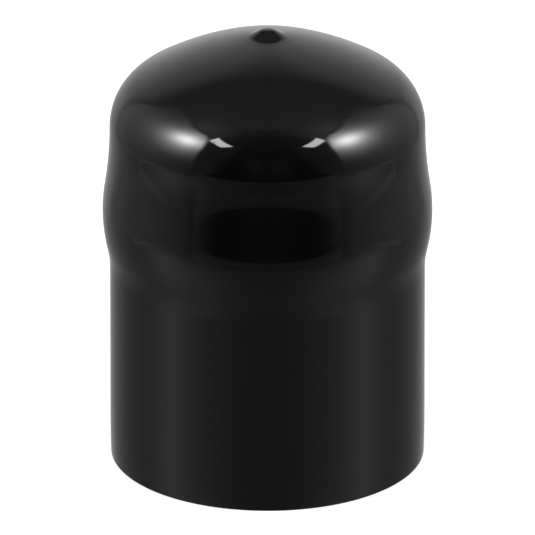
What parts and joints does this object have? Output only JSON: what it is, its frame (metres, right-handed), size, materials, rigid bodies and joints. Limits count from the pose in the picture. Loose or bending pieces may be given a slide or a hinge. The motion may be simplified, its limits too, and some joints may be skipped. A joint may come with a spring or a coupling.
{
  "type": "tow ball cover",
  "caption": "Soft push-on cover for a tow ball: straight round skirt, a slight ball-shaped bulge, and a domed crown with a small nub.",
  "frame": {"origin": "centre of the open rim, on the cover's axis, in the plane that the rim rests on", "axes": "+Z along the axis from the open rim to the nub; the cover is the same all the way round, so X and Y are free"},
  "size_m": [0.0548, 0.0548, 0.0758],
  "materials": {
    "cover_vinyl": "glossy black soft vinyl"
  },
  "bodies": {
    "root": {"cover": "cover_vinyl"}
  },
  "joints": []
}
